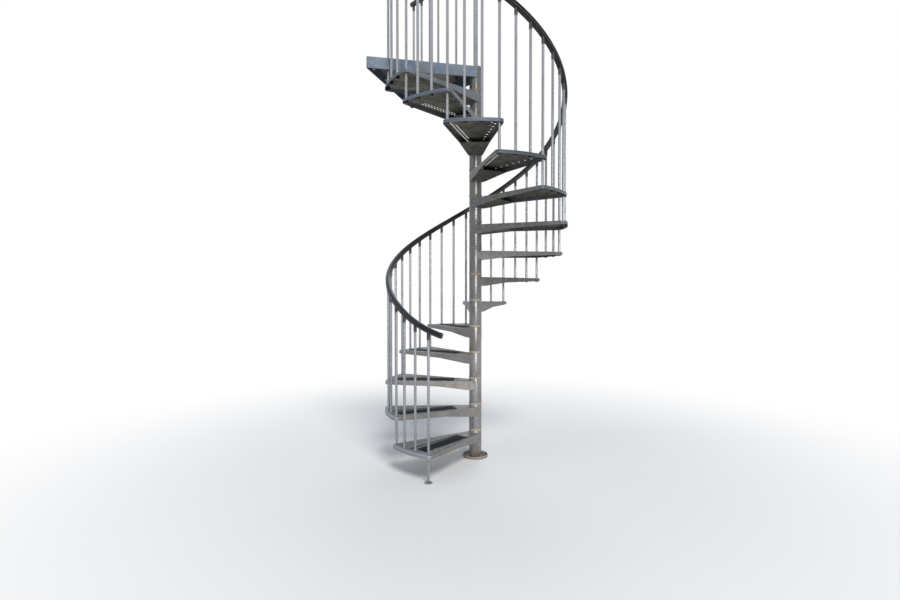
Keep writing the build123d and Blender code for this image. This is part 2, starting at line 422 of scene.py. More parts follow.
def rusty_nuts():
    """Anchor nuts gone dull and brown."""
    paint = Paint("rusty nuts", 0.4)
    paint.ground(paint.patches(0.4, 0.6, 70, 6), (0.13, 0.085, 0.06), (0.27, 0.24, 0.21))
    return paint.finish(paint.span(paint.noise(90), 0.45, 0.7), paint.noise(500, 4), 0.0004)


def black_plastic():
    """Smooth black moulding of the handrail, with a painted cool highlight along its top."""
    paint = Paint("black plastic", specular=0.22)
    paint.ground(paint.noise(14, 6), (0.005, 0.006, 0.008), (0.012, 0.013, 0.017))
    # Painted highlight: a cool grey band along the top of the rail.
    painted_top_highlight = paint.band(paint.upward(paint.normal), 0.7, 0.92)
    paint.coat((0.055, 0.08, 0.125), painted_top_highlight, paint.span(paint.noise(25, 8), 0.55, 1.0))
    return paint.finish(paint.span(paint.noise(30, 6), 0.12, 0.24), paint.noise(160, 5), 0.0001)


def bright_edge():
    """Walls of the small holes, painted a light tan as if lit, brighter than the sheet and dull near its top.
    """
    paint = Paint("bright edge", 0.3)
    # Painted light: the hole walls are a light tan, as if lit.
    paint.ground(paint.noise(60, 4), (0.42, 0.39, 0.33), (0.66, 0.63, 0.58))
    upper = paint.band(paint.upward(paint.local), -0.0017, -0.0012)
    paint.coat((0.1, 0.105, 0.11), upper)
    return paint.finish(paint.span(paint.noise(90), 0.35, 0.5), paint.noise(400, 4), 0.0002)


def dusty_groove():
    """Pale grey along the groove of the moulding: a painted highlight."""
    paint = Paint("highlit groove")
    # Painted highlight in the groove.
    paint.ground(paint.noise(30, 6), (0.1, 0.1, 0.1), (0.24, 0.235, 0.225))
    return paint.finish(0.8, paint.noise(260, 5), 0.0003)


def black_fittings():
    """Grained black plastic of sleeves, collars and cups."""
    paint = Paint("black fittings")
    paint.ground(paint.noise(40, 6), (0.011, 0.011, 0.013), (0.028, 0.028, 0.03))
    paint.coat((0.12, 0.11, 0.1), paint.band(paint.upward(paint.normal), 0.5, 1.0), 0.2)
    return paint.finish(paint.span(paint.noise(80), 0.36, 0.55), paint.noise(700, 3), 0.0003)


def tan_plastic():
    """Weathered tan spacer rings, darker higher up."""
    paint = Paint("tan plastic")
    paint.ground(paint.noise(24, 6), (0.34, 0.27, 0.18), (0.52, 0.43, 0.3))
    paint.coat((0.12, 0.095, 0.07), paint.patches(0.54, 0.7, 60, 6, (1, 1, 0.3)), 0.5)
    paint.coat((0.115, 0.095, 0.062), paint.band(paint.upward(paint.spot), 0.9, 2.1), 0.72)
    return paint.finish(paint.span(paint.noise(70), 0.5, 0.7), paint.noise(260, 5), 0.0005)


def grit_strip():
    """Gritty black anti slip tape, a little dusty, with wear in patches."""
    paint = Paint("grit strip", specular=0.15)
    grains = paint.cells(900)
    paint.ground(paint.band(grains, 0.75, 1.0), (0.005, 0.006, 0.009), (0.03, 0.033, 0.04))
    paint.coat((0.06, 0.058, 0.056), paint.patches(0.52, 0.75, 9, 8), 0.2)
    return paint.finish(paint.span(grains, 0.65, 0.95), grains, 0.0007)


sheet_paint = galvanised_sheet()
landing_paint = galvanised_landing()
tube_paint = galvanised_tube()
column_paint = galvanised_column()
base_paint = rusty_base()
bar_paint = galvanised_bar()
zinc_paint = bright_zinc()
nut_paint = rusty_nuts()
rail_paint = black_plastic()
groove_paint = dusty_groove()
edge_paint = bright_edge()
fitting_paint = black_fittings()
ring_paint = tan_plastic()
grit_paint = grit_strip()


# Mesh helpers. Coordinates are in millimetres until a mesh is finished.
def finished(name, mesh, paints, nodes, place=None):
    """Turn a bmesh into an object in metres that rides on the root."""
    bmesh.ops.remove_doubles(mesh, verts=mesh.verts, dist=0.004)
    bmesh.ops.recalc_face_normals(mesh, faces=mesh.faces)
    sharp = radians(36)
    for face in mesh.faces:
        face.smooth = True
    for edge in mesh.edges:
        edge.smooth = len(edge.link_faces) == 2 and edge.calc_face_angle() < sharp
    bmesh.ops.scale(mesh, vec=(MM, MM, MM), verts=mesh.verts)
    if place is not None:
        mesh.transform(place.to_3x3().to_4x4())
    data = bpy.data.meshes.new(name)
    mesh.to_mesh(data)
    mesh.free()
    for paint in paints:
        data.materials.append(paint)
    piece = added(name, data)
    if place is not None:
        piece.matrix_world = Matrix.Translation(place.to_translation())
    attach(piece, "root")
    if nodes:
        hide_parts(*nodes)


def skin(mesh, rings, around=True, along=False, paint=0):
    """Faces between rows of points that have one point or the same number of points each."""
    rows = [[mesh.verts.new(point) for point in ring] for ring in rings]
    pairs = list(zip(rows, rows[1:]))
    if along:
        pairs.append((rows[-1], rows[0]))
    for lower, upper in pairs:
        low, high = len(lower), len(upper)
        size = max(low, high)
        for i in range(size if around else size - 1):
            j = (i + 1) % size
            corners = [lower[i % low], lower[j % low], upper[j % high], upper[i % high]]
            face = mesh.faces.new(list(dict.fromkeys(corners)))
            face.material_index = paint
    return rows


def eased(profile, ease, closed=False):
    """Profile with each corner turned into a small curve."""
    points = [Vector(point) for point in profile]
    result = []
    count = len(points)
    for i, point in enumerate(points):
        if not closed and i in (0, count - 1):
            result.append(point)
            continue
        before, after = points[i - 1] - point, points[(i + 1) % count] - point
        start = point + before.normalized() * min(ease, before.length * 0.45)
        end = point + after.normalized() * min(ease, after.length * 0.45)
        for t in (0, 0.33, 0.67, 1):
            result.append(start * (1 - t) ** 2 + point * 2 * t * (1 - t) + end * t ** 2)
    return result


def full_turn(count):
    """Directions all the way round, in radians."""
    return [2 * pi * i / count for i in range(count)]


def turned(mesh, profile, x=0.0, y=0.0, segments=48, closed=False, paint=0, place=None):
    """Turned shape from points of radius and height. A closed profile makes a ring. A matrix may place it."""
    rings = []
    for radius, height in profile:
        turns = full_turn(segments) if radius > 0.001 else [0.0]
        ring = [Vector((x + radius * cos(a), y + radius * sin(a), height)) for a in turns]
        if place is not None:
            ring = [place @ point for point in ring]
        rings.append(ring)
    skin(mesh, rings, along=closed, paint=paint)


def round_ring(mesh, inner, outer, bottom, top, ease, x=0.0, y=0.0, segments=64, paint=0, place=None):
    """Ring with eased edges, between two radii and two heights."""
    section = [(inner, bottom), (outer, bottom), (outer, top), (inner, top)]
    turned(mesh, eased(section, ease, True), x, y, segments, True, paint, place)


def disc(mesh, radius, bottom, top, ease, x=0.0, y=0.0, segments=48):
    """Solid round disc with eased edges, between two heights."""
    section = [(0, bottom), (radius, bottom), (radius, top), (0, top)]
    turned(mesh, eased(section, ease), x, y, segments)


def bead(mesh, path, radius, seed, paint=0):
    """Weld: a rippled round bead along a path, thin at both ends."""
    chance = random.Random(seed)
    points = [Vector(point) for point in path]
    rings = [[points[0]]]
    for i in range(1, len(points) - 1):
        along = (points[i + 1] - points[i - 1]).normalized()
        side = along.orthogonal().normalized()
        up = along.cross(side)
        thick = radius * (0.85 + 0.15 * (i % 2) + chance.uniform(-0.1, 0.1))
        rings.append([points[i] + (side * cos(a) + up * sin(a)) * thick for a in full_turn(8)])
    rings.append([points[-1]])
    skin(mesh, rings, paint=paint)


def arc_points(radius, start, end, count, z=0.0):
    """Points on an arc about the axis, between two directions in degrees."""
    angles = [start + (end - start) * i / (count - 1) for i in range(count)]
    return [(*polar(radius, angle), z) for angle in angles]


def upright_weld(mesh, x, y, top, bottom, count, radius, seed, paint=1):
    """Weld down an upright joint."""
    step = (bottom - top) / (count - 1)
    bead(mesh, [(x, y, top + step * i) for i in range(count)], radius, seed, paint)


# Folded sheets: a chain of points runs from the column tube round the outer side and back
hub_touch_r = hub_r - 2
weld_path_r = hub_r + 0.5
weld_r = 2.6
side_weld_r = 2.4
corner_weld_r = 1.5
weld_start = -4


def side_start(offset):
    """Distance along a side line at which it leaves the wall of the column tube."""
    return sqrt(max(0.0, hub_touch_r ** 2 - offset ** 2))


def on_side(angle, offset, along):
    """Point on the front side line, which leaves the column tube in a direction at an offset."""
    return (along * cos(angle) - offset * sin(angle),
            along * sin(angle) + offset * cos(angle))


def along_at(angle, offset, x):
    """Distance along the side line at a given x."""
    return (x + offset * sin(angle)) / cos(angle)


corner_steps = 8
rim_steps = 20
fold_steps = 4
hole_sides = 14
hole_ease = 0.7
perforation_flare = 2.6
side_stations = (hub_r, closing_end_x, 560)
corner_first = 1 + len(side_stations)


def side_points(angle, inset, stations=side_stations):
    """Start of a sheet's edge: where it leaves the column tube, and points along its straight side."""
    offset = hub_r - inset
    points = [on_side(angle, offset, side_start(offset))]
    return points + [on_side(angle, offset, along_at(angle, offset, x)) for x in stations]


def corner_points(centre, radius, first, last):
    """Points round a corner of a sheet, between two directions in radians."""
    points = []
    for i in range(corner_steps + 1):
        turn = first + (last - first) * i / corner_steps
        points.append(tuple(centre + Vector((cos(turn), sin(turn))) * radius))
    return points


def tube_arc(outline, count):
    """Points round the column tube, from the end of an open outline back to its start."""
    start = degrees(atan2(outline[0][1], outline[0][0]))
    return [(x, y) for x, y, z in arc_points(hub_touch_r, -start, start, count)][1:-1]


def mirrored(half):
    """Whole chain from its front half, which ends on the middle line or just before it."""
    back = [(x, -y) for x, y in reversed(half)]
    if abs(half[-1][1]) < 0.001:
        back = back[1:]
    return half + back


def tread_chain(inset):
    """Edge of a tread, moved inwards by an inset."""
    reach = sqrt((rim_r - corner_r) ** 2 - (hub_r - corner_r) ** 2)
    centre = Vector(on_side(edge_angle, hub_r - corner_r, reach))
    last = atan2(centre.y, centre.x)
    half = side_points(edge_angle, inset)
    half += corner_points(centre, corner_r - inset, edge_angle + pi / 2, last)
    for i in range(1, rim_steps + 1):
        turn = last * (1 - i / rim_steps)
        half.append(((rim_r - inset) * cos(turn), (rim_r - inset) * sin(turn)))
    return mirrored(half)


def landing_chain(inset):
    """Edge of the landing in its own frame, where the wall is at the far end of +X."""
    offset = hub_r - landing_corner_r
    reach = along_at(landing_angle, offset, wall_distance - landing_corner_r)
    centre = Vector(on_side(landing_angle, offset, reach))
    half = side_points(landing_angle, inset)
    half += corner_points(centre, landing_corner_r - inset, landing_angle + pi / 2, 0.0)
    half.append((wall_distance - inset, 0.0))
    return mirrored(half)


def tread_lower_edge(x):
    """Height of the lower edge of a tread's flanges."""
    if x < closing_end_x:
        share = max(0.0, (x - hub_r) / (closing_end_x - hub_r))
        return -hub_depth + share * (hub_depth - closing_end_depth)
    share = min(1.0, (x - closing_end_x) / (rim_r - corner_r - closing_end_x))
    return -closing_end_depth + share * (closing_end_depth - rim_depth)


def inside(point, loop):
    """Whether a point is inside a closed loop."""
    within = False
    for (ax, ay), (bx, by) in zip(loop, loop[1:] + loop[:1]):
        if (ay > point[1]) != (by > point[1]) and point[0] < ax + (point[1] - ay) * (bx - ax) / (by - ay):
            within = not within
    return within


def flat_sheet(mesh, outline, holes, level):
    """Triangles of a flat sheet with holes, at a height that may depend on x."""
    smallest = 0.05
    hole_reach = 30
    points = list(outline)
    edges = [(i, (i + 1) % len(outline)) for i in range(len(outline))]
    for hole in holes:
        start = len(points)
        points += hole
        edges += [(start + i, start + (i + 1) % len(hole)) for i in range(len(hole))]
    result = geometry.delaunay_2d_cdt([Vector(point) for point in points], edges, [], 0, 0.0001)
    spots, faces = result[0], result[2]
    centres = [(sum(x for x, y in hole) / len(hole), sum(y for x, y in hole) / len(hole)) for hole in holes]
    corners = [mesh.verts.new((spot.x, spot.y, level(spot.x))) for spot in spots]
    for face in faces:
        first, second, third = (spots[i] for i in face)
        if abs((second - first).cross(third - first)) < smallest:
            continue
        middle = (sum(spots[i].x for i in face) / 3, sum(spots[i].y for i in face) / 3)
        if not inside(middle, outline):
            continue
        near = [hole for hole, spot in zip(holes, centres) if dist(spot, middle) < hole_reach]
        if any(inside(middle, hole) for hole in near):
            continue
        mesh.faces.new([corners[i] for i in face])


def hole_loop(x, y, radius, stretch, turn):
    """Round hole, or a slot where it is stretched along a direction."""
    ahead, aside = cos(turn), sin(turn)
    loop = []
    for angle in full_turn(hole_sides):
        px = radius * cos(angle) + copysign(stretch / 2, cos(angle))
        py = radius * sin(angle)
        loop.append((x + px * ahead - py * aside, y + px * aside + py * ahead))
    return loop


def hole_wall(mesh, x, y, radius, stretch, turn, flare):
    """Wall of a hole through the sheet, with an eased upper edge and a wider lower one."""
    levels = ((hole_ease, 0), (0, -hole_ease), (flare * 0.3, -sheet * 0.6), (flare, -sheet))
    rings = []
    for wider, level in levels:
        loop = hole_loop(x, y, radius + wider, stretch, turn)
        rings.append([(px, py, level) for px, py in loop])
    skin(mesh, rings, paint=2)


def folded_sheet(mesh, chain, lower_edge, grooved, holes):
    """Top sheet with its rim and flanges folded down, made as one closed skin."""
    edge = 0.8
    groove = 1.3
    inner_r = fold_r - sheet
    quarter = [pi / 2 * step / fold_steps for step in range(fold_steps + 1)]
    # Each station is an inset, a height, a further inset on the rim, and 1 where it hangs from the lower edge
    stations = [(fold_r * (1 - sin(turn)), fold_r * (cos(turn) - 1), 0, 0) for turn in quarter]
    if grooved:
        stations += [(0, -9.0, 0, 0), (0, -9.5, groove, 0), (0, -10.6, groove, 0), (0, -11.2, 0.4, 0)]
    stations += [(0, edge, 0, 1), (edge, 0, 0, 1), (sheet - edge, 0, 0, 1), (sheet, edge, 0, 1)]
    for turn in reversed(quarter):
        stations.append((fold_r - inner_r * sin(turn), inner_r * cos(turn) - fold_r, 0, 0))
    base = chain(0)
    last = len(base) - 1
    rings = []
    for inset, level, extra, hangs in stations:
        plain, deep = chain(inset), chain(inset + extra)
        ring = []
        for i in range(len(base)):
            on_rim = corner_first + 1 < i < last - corner_first - 1
            x, y = deep[i] if on_rim else plain[i]
            ring.append((x, y, level + (lower_edge(base[i][0]) if hangs else 0)))
        rings.append(ring)
    rows = skin(mesh, rings, around=False)
    mesh.faces.new([row[0] for row in rows])
    mesh.faces.new([row[-1] for row in rows])
    outline = chain(fold_r)
    inner_arc = tube_arc(outline, 25)
    upper, lower = [], []
    for x, y, radius, stretch, turn, flare in holes:
        upper.append(hole_loop(x, y, radius + hole_ease, stretch, turn))
        lower.append(hole_loop(x, y, radius + flare, stretch, turn))
    flat_sheet(mesh, outline + inner_arc, upper, lambda x: 0.0)
    flat_sheet(mesh, outline + inner_arc, lower, lambda x: -float(sheet))
    ends = [outline[-1]] + inner_arc + [outline[0]]
    skin(mesh, [[(x, y, 0.0) for x, y in ends], [(x, y, -float(sheet)) for x, y in ends]], around=False)
    for hole in holes:
        hole_wall(mesh, *hole)


def spindle_hole(x, y):
    """Round hole for a baluster, in the terms of hole_wall."""
    return x, y, spindle_r + 0.4, 0.0, 0.0, hole_ease


def baluster_holes():
    """Places of the balusters of one tread, in its own frame."""
    turns = [tread_step * (i / spindles_per_tread - 0.5) for i in range(spindles_per_tread + 1)]
    return [polar(spindle_circle_r, turn) for turn in turns]


def perforations():
    """Small holes along both sides of a tread: two staggered rows in front, two close rows behind."""
    spindles = baluster_holes()
    holes = []

    def row(side, from_edge, pitch, start, end, radius, slot):
        """Round ended slots at a pitch along one side, clear of the balusters."""
        offset = hub_r - from_edge
        along = along_at(edge_angle, offset, start)
        while along < along_at(edge_angle, offset, end):
            x, y = on_side(edge_angle, offset, along)
            if all(dist((x, y), spindle) > radius + slot / 2 + collar_r for spindle in spindles):
                holes.append((x, y * side, radius, slot, edge_angle * side, perforation_flare))
            along += pitch

    row(side=1, from_edge=36, pitch=65, start=225, end=690, radius=7, slot=5)
    row(side=1, from_edge=68, pitch=65, start=192.5, end=700, radius=7, slot=5)
    row(side=-1, from_edge=34, pitch=31, start=160, end=690, radius=5.5, slot=8)
    row(side=-1, from_edge=60, pitch=31, start=160, end=700, radius=5.5, slot=8)
    return holes


def closing_plate(mesh):
    """Plate under the deep end of a tread, between the flanges."""
    outline = mirrored(side_points(edge_angle, sheet - 0.3, (hub_r, closing_end_x)))
    outline += tube_arc(outline, 17)
    walls = []
    for lift in (0.2, sheet):
        flat_sheet(mesh, outline, [], lambda x, lift=lift: tread_lower_edge(x) + lift)
        walls.append([(x, y, tread_lower_edge(x) + lift) for x, y in outline])
    skin(mesh, walls)


def hub(mesh, bottom, top):
    """Column tube with eased ends."""
    round_ring(mesh, hub_r - hub_wall, hub_r, bottom, top, 1.0, paint=1)


def tread_mesh(n):
    """Tread in its own frame: folded sheet, closing plate, column tube and welds."""
    mesh = bmesh.new()
    spindles = [spindle_hole(x, y) for x, y in baluster_holes()]
    folded_sheet(mesh, tread_chain, tread_lower_edge, True, perforations() + spindles)
    closing_plate(mesh)
    hub(mesh, hub_bottom(n) - tread_top(n), ring_above_tread)
    seed = 10 * n
    bead(mesh, arc_points(weld_path_r, -88, 88, 60, 0.5), weld_r, seed, 1)
    bead(mesh, arc_points(weld_path_r, -100, 100, 60, -hub_depth), weld_r, seed + 1, 1)
    x, y = on_side(edge_angle, weld_path_r, 0)
    corner_x, corner_y = tread_chain(0)[corner_first]
    for side in (-1, 1):
        upright_weld(mesh, x, side * y, weld_start, -hub_depth, 30, side_weld_r, seed + 2 + side)
        far_y = side * corner_y
        upright_weld(mesh, corner_x, far_y, -11.5, 1 - rim_depth, 12, corner_weld_r, seed + 5 + side, 0)
    return mesh


def turned_by(angle):
    """Turn about an upright axis by an angle in degrees, as a matrix."""
    return Matrix.Rotation(radians(angle), 4, "Z")


for n in range(1, tread_count + 1):
    label = str(n).zfill(2)
    finished("folded_tread_" + label, tread_mesh(n), [sheet_paint, column_paint, edge_paint],
             ["tread_" + label],
             Matrix.Translation((0, 0, tread_top(n) * MM)) @ turned_by(tread_mid_angle(n)))


# Landing, with its bolts at the wall
washer_thick = 2.5
nut_across = 19.0
nut_height = 9.0
stud_r = 6.0
stud_length = 5.0
thread_pitch = 1.2


def hex_nut(mesh, place):
    """Hexagon with eased corners, on a plane given by a matrix."""
    corner = nut_across / 2 / cos(pi / 6) * 0.985
    rings = [[place @ Vector((0, 0, 0))]]
    for share, level in ((1.0, 0.0), (1.0, nut_height * 0.86), (0.9, nut_height)):
        ring = []
        for angle in full_turn(24):
            flat = nut_across / 2 / cos((angle + pi / 6) % (pi / 3) - pi / 6)
            radius = min(corner, flat) * share
            ring.append(place @ Vector((radius * cos(angle), radius * sin(angle), level)))
        rings.append(ring)
    rings.append([place @ Vector((0, 0, nut_height))])
    skin(mesh, rings)


def stud(mesh, place):
    """Threaded end that stands out of a nut."""
    profile = [(0, 0)]
    level = 0.0
    while level < stud_length - thread_pitch:
        profile += [(stud_r, level), (stud_r - thread_pitch / 2, level + thread_pitch / 2)]
        level += thread_pitch
    profile += [(stud_r - 1.0, stud_length), (0, stud_length)]
    turned(mesh, profile, segments=20, place=place)


def bolted(mesh, place):
    """Washer, nut and stud end on a plane given by a matrix."""
    round_ring(mesh, stud_r + 0.4, 12, 0, washer_thick, 0.4, segments=32, place=place)
    hex_nut(mesh, place @ Matrix.Translation((0, 0, washer_thick)))
    stud(mesh, place @ Matrix.Translation((0, 0, washer_thick + nut_height - 0.5)))


def guard_place(index):
    """Plan position of one baluster along the rear edge of the landing, in the row's frame."""
    return polar(guard_start_r + index * guard_spacing, guard_angle)


def landing_mesh():
    """Landing in its own frame, which is turned half a turn from the row's."""
    mesh = bmesh.new()
    spots = [polar(spindle_circle_r, spindle_angle(last_spindle))]
    spots += [guard_place(index) for index in range(guard_count)]
    holes = [spindle_hole(-x, -y) for x, y in spots]
    folded_sheet(mesh, landing_chain, lambda x: -float(landing_depth), False, holes)
    hub(mesh, hub_bottom(landing_level) - tread_top(landing_level), -0.2)
    bead(mesh, arc_points(weld_path_r, -75, 75, 50, -0.8), weld_r, 201, 1)
    x, y = on_side(landing_angle, weld_path_r, 0)
    for side in (-1, 1):
        upright_weld(mesh, x, side * y, weld_start, 1 - landing_depth, 36, side_weld_r, 202 + side)
    return mesh


top = tread_top(landing_level)
finished("folded_landing", landing_mesh(), [landing_paint, column_paint, edge_paint], ["landing"],
         Matrix.Translation((0, 0, top * MM)) @ turned_by(180))

wall_bolts = bmesh.new()
for index in range(wall_bolt_count):
    along_wall = (index - (wall_bolt_count - 1) / 2) * wall_bolt_spacing
    face = Matrix.Translation((sheet - wall_distance, along_wall, top - wall_bolt_drop))
    bolted(wall_bolts, face @ Matrix.Rotation(pi / 2, 4, "Y"))
finished("wall_bolts", wall_bolts, [zinc_paint], ())

# Column: base flange with its anchors, spacer rings, caps
base = bmesh.new()
section = [(0, 0), (base_r, 0), (base_r, base_rim_height), (base_r - base_rim_thick, base_rim_height),
           (base_r - base_rim_thick, base_thick), (0, base_thick)]
turned(base, eased(section, 1.2), segments=96)
bead(base, arc_points(hub_r + 0.8, 0, 359, 120, base_thick + 0.8), weld_r + 0.2, 301)
finished("dished_base", base, [base_paint], ["base_flange"])

anchors = bmesh.new()
for index in range(anchor_count):
    x, y = polar(anchor_circle_r, 45 + index * 360 / anchor_count)
    bolted(anchors, Matrix.Translation((x, y, base_thick)))
finished("anchor_nuts", anchors, [nut_paint], ())

bore_r = pole_r + 0.2
rings = bmesh.new()
for n in range(1, tread_count + 1):
    bottom = tread_top(n) + ring_above_tread
    round_ring(rings, bore_r, ring_r, bottom + 0.1, bottom + ring_height - 0.1, 2.0)
finished("tan_rings", rings, [ring_paint], ["spacer_rings"])

lid = bmesh.new()
round_ring(lid, bore_r, hub_r, top, top + hub_cap_thick, 1.2)
finished("column_lid", lid, [column_paint], ["column_cap"])

post_top = rail_centre(last_spindle) + rail_r
plug = bmesh.new()
disc(plug, pole_r, post_top, post_top + post_cap_height, 2.5)
finished("post_plug", plug, [fitting_paint], ["post_cap"])


# Fittings of the balusters
fitting_sides = 28


def collar(mesh, x, y, level):
    """Black ring under the sheet."""
    below = level - sheet
    round_ring(mesh, spindle_r, collar_r, below - collar_height, below, 1.5, x, y, fitting_sides)


def bush(mesh, x, y, level):
    """Thin black lip on top of the sheet round a baluster."""
    round_ring(mesh, spindle_r, spindle_r + 2.6, level - 0.5, level + 1.4, 0.7, x, y, fitting_sides)


def end_cup(mesh, screws, x, y, level):
    """Black cup on the lower end of a baluster, and the head of the screw in it."""
    bottom = level - sheet - cap_height - cap_floor
    section = [(0, bottom), (collar_r, bottom), (collar_r, level - sheet), (spindle_r, level - sheet),
               (spindle_r, bottom + cap_floor), (0, bottom + cap_floor)]
    turned(mesh, eased(section, 2.0), x, y, fitting_sides)
    head = ((0, 0.2), (7.0, 0.2), (6.7, -1.6), (4.2, -3.0), (2.5, -3.2), (2.3, -1.4), (0, -1.4))
    turned(screws, eased([(radius, bottom + lift) for radius, lift in head], 0.5), x, y, segments=20)


def connector(mesh, x, y, seat, turn, lean):
    """Sleeve on the upper end of a baluster, cut to the lean of the rail."""
    levels = ((spindle_r, -connector_length, 0), (connector_r - 0.8, -connector_length, 0),
              (connector_r, 0.8 - connector_length, 0), (connector_r, 3.0 - connector_length, 0),
              (connector_r, -6.0, 1), (connector_r - 0.2, -0.9, 1), (connector_r - 1.0, 0, 1), (0, 0, 1))
    rings = [[(x, y, seat + 1 - connector_length)]]
    for radius, level, leans in levels:
        if radius == 0:
            rings.append([(x, y, seat)])
            continue
        ring = []
        for angle in full_turn(fitting_sides):
            tilt = radius * cos(angle) * tan(lean) * leans
            heading = angle + radians(turn)
            ring.append((x + radius * cos(heading), y + radius * sin(heading), seat + level + tilt))
        rings.append(ring)
    skin(mesh, rings)


collars = bmesh.new()
bushes = bmesh.new()
cups = bmesh.new()
screws = bmesh.new()
connectors = bmesh.new()
for k in range(last_spindle + 1):
    x, y = polar(spindle_circle_r, spindle_angle(k))
    n = k // spindles_per_tread + 1
    connector(connectors, x, y, rail_seat(k), spindle_angle(k) - 90, rail_lean(k))
    bush(bushes, x, y, tread_top(n))
    if k % spindles_per_tread:
        end_cup(cups, screws, x, y, tread_top(n))
        continue
    collar(collars, x, y, tread_top(n))
    if n > 1:
        end_cup(cups, screws, x, y, tread_top(n - 1))
        bush(bushes, x, y, tread_top(n - 1))

guard_seat = rail_centre(last_spindle) - bar_drop - seat_clearance
for index in range(guard_count):
    x, y = guard_place(index)
    connector(connectors, x, y, guard_seat, 0, 0)
    collar(collars, x, y, top)
    bush(bushes, x, y, top)
    disc(cups, spindle_r, top - guard_stub - cap_floor, top - guard_stub, 1.0, x, y, fitting_sides)
finished("collar_rings", collars, [fitting_paint], ["baluster_collars"])
finished("bush_lips", bushes, [fitting_paint], ())
finished("end_cups", cups, [fitting_paint], ["baluster_caps"])
finished("cup_screws", screws, [column_paint], ())
finished("sleeves", connectors, [fitting_paint], ["rail_connectors"])

foot_plate = bmesh.new()
x, y = polar(spindle_circle_r, spindle_angle(0))
disc(foot_plate, foot_r, 0, foot_thick, 1.5, x, y)
finished("foot_plate", foot_plate, [tube_paint], ["first_baluster_foot"])
foot_ring = bmesh.new()
round_ring(foot_ring, spindle_r, connector_r, foot_thick, foot_thick + 5, 1.2, x, y, 36)
finished("foot_ring", foot_ring, [fitting_paint], ())


# Handrail: a round moulding with a groove above the lips that hold the flat bar
def moulding_section():
    """Half of the section, from the middle of the underside to the top, and which parts are groove."""
    lip_out, lip_in, lip_low = 19.4, 15.3, -19.4
    half = [(0, -rail_flat_drop), (lip_in, -rail_flat_drop), (lip_in, lip_low), (lip_out - 1.2, lip_low),
            (lip_out, lip_low + 1.2), (lip_out, -13.0), (lip_out - 0.4, -12.4), (lip_out - 1.6, -12.0),
            (lip_out - 1.6, -9.8), (lip_out - 0.2, -9.4)]
    groove = (len(half) - 3, len(half) - 2)
    start = asin(-8.8 / rail_r)
    for i in range(13):
        turn = start + (pi / 2 - start) * i / 12
        half.append((rail_r * cos(turn), rail_r * sin(turn)))
    return half, groove


def moulding(name, node, path):
    """Moulding along points that each have a direction outwards and one upwards."""
    half, groove = moulding_section()
    section = half + [(-u, v) for u, v in reversed(half[1:-1])]
    count = len(section)
    lined = list(groove) + [count - 1 - i for i in groove]
    mesh = bmesh.new()
    ease = 4.0
    rings = []
    ends = [(0, ease), (0.3 * ease, 0.3 * ease), (ease, 0)]
    spots = [(path[0], path[1], gap, inset) for gap, inset in ends]
    spots += [(spot, None, 0, 0) for spot in path[1:-1]]
    spots += [(path[-1], path[-2], gap, inset) for gap, inset in reversed(ends)]
    for (place, out, up), toward, gap, inset in spots:
        if toward:
            place = place + (toward[0] - place).normalized() * gap
        shrink = 1 - inset / rail_r
        rings.append([place + (out * u + up * v) * shrink for u, v in section])
    rows = skin(mesh, rings)
    mesh.faces.new(rows[0])
    mesh.faces.new(rows[-1])
    mesh.faces.ensure_lookup_table()
    for index, face in enumerate(mesh.faces[:(len(rows) - 1) * count]):
        face.material_index = 1 if index % count in lined else 0
    finished(name, mesh, [rail_paint, groove_paint], [node])


def rail_spot(k):
    """Centre of the handrail over baluster k, with its directions outwards and upwards."""
    out = Vector((*polar(1, spindle_angle(k)), 0))
    level, climb = cos(rail_lean(k)), sin(rail_lean(k))
    ahead = Vector((out.y * level, -out.x * level, climb))
    return Vector((*polar(spindle_circle_r, spindle_angle(k)), rail_centre(k))), out, ahead.cross(out)


first_k, last_k = -rail_start_angle / spindle_step, last_spindle + rail_end_angle / spindle_step
rail_steps = 216
moulding("handrail_moulding", "handrail",
         [rail_spot(first_k + (last_k - first_k) * i / rail_steps) for i in range(rail_steps + 1)])
guard_out = Vector((*polar(1, guard_angle), 0))
guard_reach = (wall_distance - guard_wall_gap) / abs(guard_out.x)
guard_path = []
guard_steps = 8
for i in range(guard_steps + 1):
    along = pole_r + seat_clearance + (guard_reach - pole_r - seat_clearance) * i / guard_steps
    spot = guard_out * along + Vector((0, 0, rail_centre(last_spindle)))
    guard_path.append((spot, Vector((-guard_out.y, guard_out.x, 0)), Vector((0, 0, 1))))
moulding("landing_moulding", "landing_handrail", guard_path)


# Anti slip strips, laid by hand, so each pair is turned a little differently
def strip(mesh, place, length, width, corner):
    """Strip of tape with round corners and an eased upper edge."""
    thick = 1.5
    outline = []
    for cx, cy, first in ((1, 1, 0), (-1, 1, 90), (-1, -1, 180), (1, -1, 270)):
        for i in range(7):
            turn = radians(first + 90 * i / 6)
            outline.append((cx * (length / 2 - corner) + corner * cos(turn),
                            cy * (width / 2 - corner) + corner * sin(turn)))
    rings = []
    for inset, level in ((0, 0.05), (0, thick * 0.6), (0.5, thick)):
        shrink_x, shrink_y = 1 - 2 * inset / length, 1 - 2 * inset / width
        rings.append([place @ Vector((x * shrink_x, y * shrink_y, level)) for x, y in outline])
    rows = skin(mesh, rings)
    mesh.faces.new(rows[0])
    mesh.faces.new(rows[-1])


strips = bmesh.new()
hand = random.Random(7)
wide_centre = (430, 48, 0)
